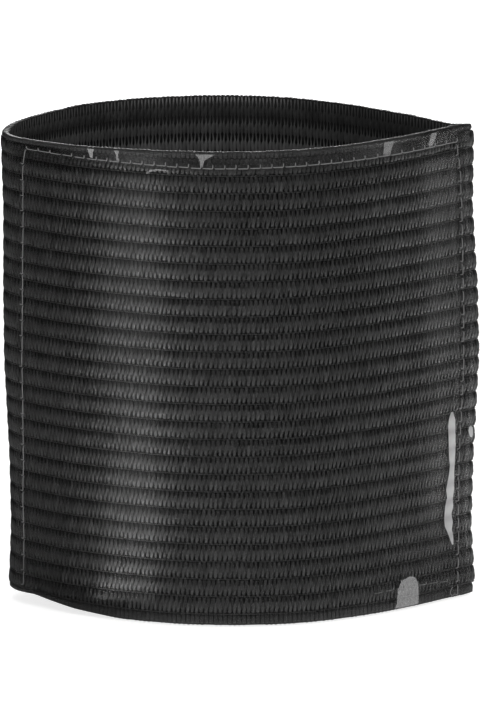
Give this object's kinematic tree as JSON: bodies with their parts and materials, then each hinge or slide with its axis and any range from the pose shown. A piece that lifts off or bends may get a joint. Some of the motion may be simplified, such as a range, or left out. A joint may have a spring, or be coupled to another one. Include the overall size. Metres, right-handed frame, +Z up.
{
  "type": "elastic armband with a clear window",
  "caption": "Loop of wide ribbed elastic webbing that slips over a sleeve, with a clear vinyl window sewn over its front wall.",
  "frame": {"origin": "middle of the loop's box, on the plane of the lower rim that it stands on", "axes": "+X along the loop's long way towards the creased fold, +Y from the front wall with the window to the back wall, +Z up along the width of the webbing"},
  "size_m": [0.0998, 0.0602, 0.1],
  "materials": {
    "elastic": "black woven elastic, ribbed across its width, with a slight sheen on the yarns",
    "window": "clear flexible vinyl sheet, glossy, slightly buckled along its free edges",
    "thread": "light grey sewing thread, matt"
  },
  "bodies": {
    "root": {"elastic_band": "elastic", "clear_window": "window"}
  },
  "joints": []
}
